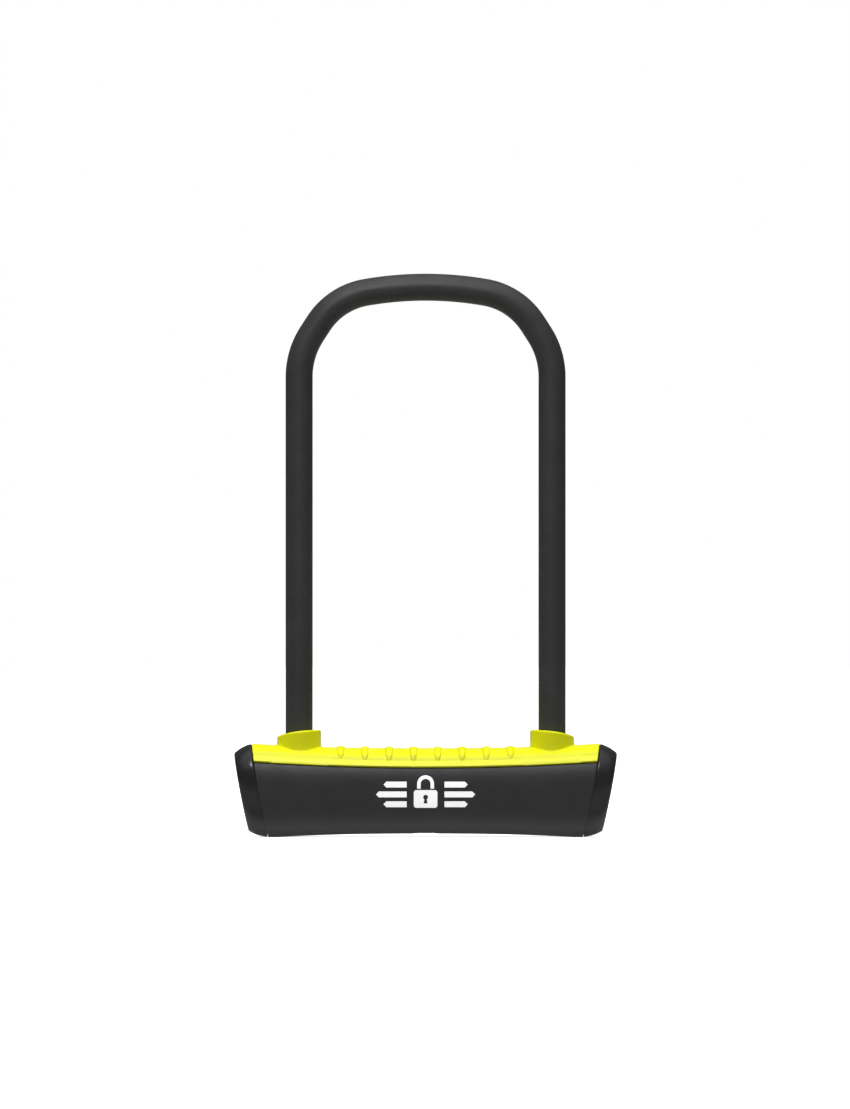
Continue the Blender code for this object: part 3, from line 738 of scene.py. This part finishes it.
class Look:
    """A node material built up step by step. Lengths in its textures are in millimetres."""

    def __init__(self, name, colour, rough, metal=0.0, **sockets):
        self.material = bpy.data.materials.new(name)
        self.material.use_nodes = True
        self.tree = self.material.node_tree
        self.shader = self.tree.nodes["Principled BSDF"]
        self.colour, self.rough = colour, rough
        self.set("Base Color", (*colour, 1.0))
        self.set("Roughness", rough)
        self.set("Metallic", metal)
        for key, value in sockets.items():
            self.set(key.replace("_", " "), value)
        self.space = self.node("ShaderNodeTexCoord").outputs["Object"]
        self.material.diffuse_color = (*colour, 1.0)

    def set(self, key, value):
        self.shader.inputs[key].default_value = value

    def node(self, kind, **values):
        made = self.tree.nodes.new(kind)
        for key, value in values.items():
            setattr(made, key, value)
        return made

    def link(self, a, b):
        self.tree.links.new(a, b)

    def axis(self, name):
        """The place along X, Y or Z, in metres."""
        made = self.node("ShaderNodeSeparateXYZ")
        self.link(self.space, made.inputs[0])
        return made.outputs[name]

    def math(self, operation, *values):
        """The result of one operation on sockets and numbers."""
        made = self.node("ShaderNodeMath", operation=operation)
        for value, socket in zip(values, made.inputs):
            if isinstance(value, float):
                socket.default_value = value
            else:
                self.link(value, socket)
        return made.outputs[0]

    def noise(self, size_mm, detail=3.0, stretch=(1, 1, 1)):
        mapping = self.node("ShaderNodeMapping")
        mapping.inputs["Scale"].default_value = [s / MM / size_mm for s in stretch]
        self.link(self.space, mapping.inputs["Vector"])
        made = self.node("ShaderNodeTexNoise")
        for key, value in (("Scale", 1.0), ("Detail", detail), ("Roughness", 0.55)):
            made.inputs[key].default_value = value
        self.link(mapping.outputs["Vector"], made.inputs["Vector"])
        return made.outputs["Fac"]

    def spread(self, source, low, high, start=0.3, end=0.7):
        """The source's stretch from start to end, spread over low to high."""
        made = self.node("ShaderNodeMapRange")
        for key, value in (("From Min", start), ("From Max", end), ("To Min", low), ("To Max", high)):
            made.inputs[key].default_value = value
        self.link(source, made.inputs["Value"])
        return made.outputs["Result"]

    def vary_colour(self, source, share):
        """The base colour, darker and lighter by a share of itself."""
        ramp = self.node("ShaderNodeMix", data_type="RGBA")
        low = [c * (1 - share) for c in self.colour]
        high = [min(1.0, c * (1 + share)) for c in self.colour]
        ramp.inputs["A"].default_value = (*low, 1)
        ramp.inputs["B"].default_value = (*high, 1)
        self.link(self.spread(source, 0, 1), ramp.inputs["Factor"])
        self.link(ramp.outputs["Result"], self.shader.inputs["Base Color"])

    def vary_rough(self, source, amount):
        spread = self.spread(source, self.rough - amount, self.rough + amount)
        self.link(spread, self.shader.inputs["Roughness"])

    def bump(self, source, height_mm):
        """One more layer of relief over those already there."""
        made = self.node("ShaderNodeBump")
        made.inputs["Strength"].default_value = 1.0
        made.inputs["Distance"].default_value = height_mm * MM
        self.link(source, made.inputs["Height"])
        before = self.shader.inputs["Normal"]
        if before.is_linked:
            self.link(before.links[0].from_socket, made.inputs["Normal"])
        self.link(made.outputs["Normal"], before)

    def painted_highlight_band(self, colour, height_mm, blur_mm=0.4):
        """A painted highlight: a paler colour along the strip's lower edge, up to a height above it, where
        the band catches the light.
        """
        square = self.math("POWER", self.axis("X"), 2.0)
        edge = self.math("MULTIPLY_ADD", square, STRIP_RISE / STRIP_SPAN ** 2 / MM, STRIP_Z * MM)
        above = self.math("SUBTRACT", self.axis("Z"), edge)
        low, high = (height_mm - blur_mm) * MM, height_mm * MM
        mix = self.node("ShaderNodeMix", data_type="RGBA")
        base = self.shader.inputs["Base Color"]
        self.link(self.spread(above, 1.0, 0.0, low, high), mix.inputs["Factor"])
        self.link(base.links[0].from_socket, mix.inputs["A"])
        mix.inputs["B"].default_value = (*colour, 1.0)
        self.link(mix.outputs["Result"], base)


def moulded(name, colour, rough, grain=0.25, grain_height=0.006, vary=0.12, **sockets):
    """Moulded plastic or rubber: uneven colour and gloss, a fine grain and a faint waviness."""
    look = Look(name, colour, rough, **sockets)
    look.vary_colour(look.noise(14, 4), vary)
    look.vary_rough(look.noise(6, 3), 0.04)
    look.bump(look.noise(grain, 2), grain_height)
    look.bump(look.noise(9, 2), 0.02)
    return look


def strip_plastic():
    look = moulded("strip_yellow", (0.84, 0.85, 0.004), 0.32, grain=0.35, grain_height=0.005, vary=0.03)
    # this paler colour is a painted highlight on the lower band, not a colour of the plastic itself
    look.painted_highlight_band((0.95, 0.96, 0.03), 3.6)
    return look


def metal(name, colour, rough, stretch=(1, 1, 1), line=0.3):
    """Metal with fine marks of a width of line, drawn out along an axis by stretch."""
    look = Look(name, colour, rough, 1.0)
    look.vary_colour(look.noise(7, 4), 0.08)
    look.vary_rough(look.noise(line, 3, stretch), 0.08)
    look.bump(look.noise(line, 3, stretch), 0.004)
    return look


LOOKS = {
    "vinyl": moulded("vinyl_black", (0.041, 0.041, 0.042), 0.45, grain=0.5, grain_height=0.004,
                     Specular_IOR_Level=0.42),
    "body": moulded("body_black", (0.031, 0.031, 0.032), 0.43, grain=0.22, grain_height=0.010),
    "cap": moulded("cap_black", (0.026, 0.026, 0.028), 0.15, grain=0.5, grain_height=0.002,
                   Specular_IOR_Level=0.42),
    "yellow": strip_plastic(),
    # the print also glows a little: painted light that makes it whiter than the lamps alone would
    "print": moulded("print_white_glowing", (0.92, 0.92, 0.92), 0.45, grain=0.3, grain_height=0.004, vary=0.02,
                     Emission_Color=(1, 1, 1, 1), Emission_Strength=0.45),
    "ring": moulded("ring_grey", (0.06, 0.06, 0.063), 0.4, grain=0.3, grain_height=0.006),
    "rubber": moulded("pad_rubber", (0.03, 0.03, 0.03), 0.75, grain=0.4, grain_height=0.02),
    "steel": metal("steel_plated", (0.56, 0.57, 0.58), 0.32, (1, 1, 14)),
    "ground": metal("steel_ground", (0.42, 0.43, 0.44), 0.28, (14, 1, 1)),
    "brass": metal("brass_turned", (0.72, 0.53, 0.24), 0.3, (1, 1, 12)),
    "zinc": metal("zinc_cast", (0.5, 0.51, 0.52), 0.48, line=0.8),
}

SIDES = ("left", "right")
NODE_LOOKS = {
    "steel": ["crossbar_tube"] + [f"end_plug_{v}" for v in SIDES] + [f"lock_disc_{n}" for n in range(1, 6)],
    "ground": [f"{part}_{v}" for part in ("end_pin", "housing_pin", "bolt") for v in SIDES]
    + [f"case_screw_{n}" for n in range(1, 5)] + ["bolt_cam"],
    "zinc": [f"leg_block_{v}" for v in SIDES] + ["lock_case_lower", "lock_case_cover", "dust_shutter"],
    "rubber": [f"foot_pad_{v}" for v in SIDES],
    "brass": ["cylinder_housing", "key_plug"],
}


def dress(obj, look):
    obj.data.materials.clear()
    obj.data.materials.append(LOOKS[look].material)


def add_piece(obj, body, look, slot, *nodes):
    dress(obj, look)
    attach(obj, body)
    if nodes:
        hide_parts(*nodes)


def build():
    add_piece(make_strip(), "crossbar", "yellow", "yellow_plastic", "grip_strip")
    add_piece(make_body(), "crossbar", "body", "black_plastic", "body_shell")
    add_piece(make_cap(-1, "cap_moulding_left"), "crossbar", "cap", "black_gloss", "end_cap_left")
    add_piece(make_cap(1, "cap_moulding_right"), "crossbar", "cap", "black_gloss", "end_cap_right")
    add_piece(make_sleeve(), "shackle", "vinyl", "black_vinyl", "shackle_sleeve")
    add_piece(make_bar(), "shackle", "steel", "steel", "shackle_bar")
    add_piece(make_bezel(), "crossbar", "ring", "grey_plastic", "keyway_bezel")
    add_piece(make_mark(), "crossbar", "print", "black_plastic")
    for look, nodes in NODE_LOOKS.items():
        for node in nodes:
            dress(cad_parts[node], look)


# The studio, in metres

FLOOR_HALF = 9.0
WORLD_BACK, WORLD_FRONT, WORLD_TOP = 0.045, 0.055, 0.8
VIEW_WIDTH, VIEW_X, VIEW_Z, VIEW_DISTANCE, SENSOR = 0.5648, -0.0003, 0.1438, 6.0, 36.0


def make_floor():
    """A pale floor. It looks white, and throws less light back up than a white floor would."""
    corners = [(x * FLOOR_HALF, y * FLOOR_HALF, 0) for x, y in ((-1, -1), (1, -1), (1, 1), (-1, 1))]
    mesh = bpy.data.meshes.new("studio_floor")
    mesh.from_pydata(corners, [], [(0, 1, 2, 3)])
    floor = add_object("studio_floor", mesh)
    look = Look("floor_pale", (0.88, 0.88, 0.88), 0.7)
    look.set("Specular IOR Level", 0.0)
    look.vary_rough(look.noise(40, 2), 0.03)
    look.set("Emission Color", (1, 1, 1, 1))
    far = look.node("ShaderNodeVectorMath", operation="LENGTH")
    look.link(look.space, far.inputs[0])
    glow = look.spread(far.outputs["Value"], 0.72, 1.0, 0.15, 0.6)
    look.link(glow, look.shader.inputs["Emission Strength"])
    # the camera sees the pale floor, reflections see some of it near the object, and all else a dim one
    dim = look.node("ShaderNodeBsdfDiffuse")
    dim.inputs["Color"].default_value = (0.18, 0.18, 0.18, 1)
    path = look.node("ShaderNodeLightPath")
    mirrored = look.spread(look.math("ABSOLUTE", look.axis("Y")), 0.6, 0.1, 0.02, 0.045)
    seen = look.math("MULTIPLY_ADD", path.outputs["Is Glossy Ray"], mirrored, path.outputs["Is Camera Ray"])
    mix = look.node("ShaderNodeMixShader")
    look.link(seen, mix.inputs["Fac"])
    look.link(dim.outputs[0], mix.inputs[1])
    look.link(look.shader.outputs[0], mix.inputs[2])
    look.link(mix.outputs[0], look.tree.nodes["Material Output"].inputs["Surface"])
    mesh.materials.append(look.material)


def area(name, place, aim_z, size, watts, glossy=False, diffuse=True):
    """A soft light that points at the middle of the object at a height of aim_z."""
    data = bpy.data.lights.new(name, "AREA")
    data.shape = "RECTANGLE"
    data.size, data.size_y = size
    data.energy = watts
    lamp = add_object(name, data)
    lamp.location = place
    lamp.rotation_euler = (Vector((0, 0, aim_z)) - Vector(place)).to_track_quat("-Z", "Y").to_euler()
    lamp.visible_glossy = glossy
    lamp.visible_diffuse = diffuse


def make_world():
    """White behind the object, and a dim room with a brighter front and ceiling for everything else."""
    world = bpy.data.worlds.new("studio")
    bpy.context.scene.world = world
    world.use_nodes = True
    tree = world.node_tree
    back = tree.nodes["Background"]
    coords = tree.nodes.new("ShaderNodeTexCoord")
    split = tree.nodes.new("ShaderNodeSeparateXYZ")
    tree.links.new(coords.outputs["Generated"], split.inputs[0])

    def ramp(output, low, high, start, end):
        made = tree.nodes.new("ShaderNodeMapRange")
        made.interpolation_type = "SMOOTHSTEP"
        for key, value in (("From Min", low), ("From Max", high), ("To Min", start), ("To Max", end)):
            made.inputs[key].default_value = value
        tree.links.new(output, made.inputs["Value"])
        return made.outputs["Result"]

    front = ramp(split.outputs["Y"], 0.3, -0.9, WORLD_BACK, WORLD_FRONT)
    lean = tree.nodes.new("ShaderNodeVectorMath")
    lean.operation = "DOT_PRODUCT"
    lean.inputs[1].default_value = (0, -0.35, 0.937)
    tree.links.new(coords.outputs["Generated"], lean.inputs[0])
    above = ramp(lean.outputs["Value"], 0.6, 1.0, 0.0, WORLD_TOP)
    total = tree.nodes.new("ShaderNodeMath")
    total.operation = "ADD"
    tree.links.new(front, total.inputs[0])
    tree.links.new(above, total.inputs[1])
    path = tree.nodes.new("ShaderNodeLightPath")
    mix = tree.nodes.new("ShaderNodeMix")
    mix.inputs["B"].default_value = 1.0
    tree.links.new(path.outputs["Is Camera Ray"], mix.inputs["Factor"])
    tree.links.new(total.outputs[0], mix.inputs["A"])
    tree.links.new(mix.outputs["Result"], back.inputs["Strength"])
    back.inputs["Color"].default_value = (1, 1, 1, 1)


def make_camera():
    data = bpy.data.cameras.new("camera")
    data.sensor_width = SENSOR
    data.lens = SENSOR * VIEW_DISTANCE / VIEW_WIDTH
    camera = add_object("camera", data)
    camera.location = (VIEW_X, -VIEW_DISTANCE, VIEW_Z)
    camera.rotation_euler = (pi / 2, 0, 0)
    bpy.context.scene.camera = camera


build()
make_floor()
make_world()
area("overhead", (-0.05, -0.25, 1.5), 0.05, (1.4, 0.7), 13.5)
area("front_high", (-0.28, -0.8, 1.45), 0.05, (0.8, 0.4), 11.9)
area("front_gloss", (-0.22, -1.2, 1.05), 0.05, (0.45, 0.35), 5.5, glossy=True, diffuse=False)
area("back_high", (0.25, 0.9, 1.35), 0.05, (0.8, 0.4), 4.5)
area("back_fill", (0.3, 1.25, 0.65), 0.08, (0.9, 0.5), 9)
make_camera()
bpy.context.scene.view_settings.view_transform = "Standard"
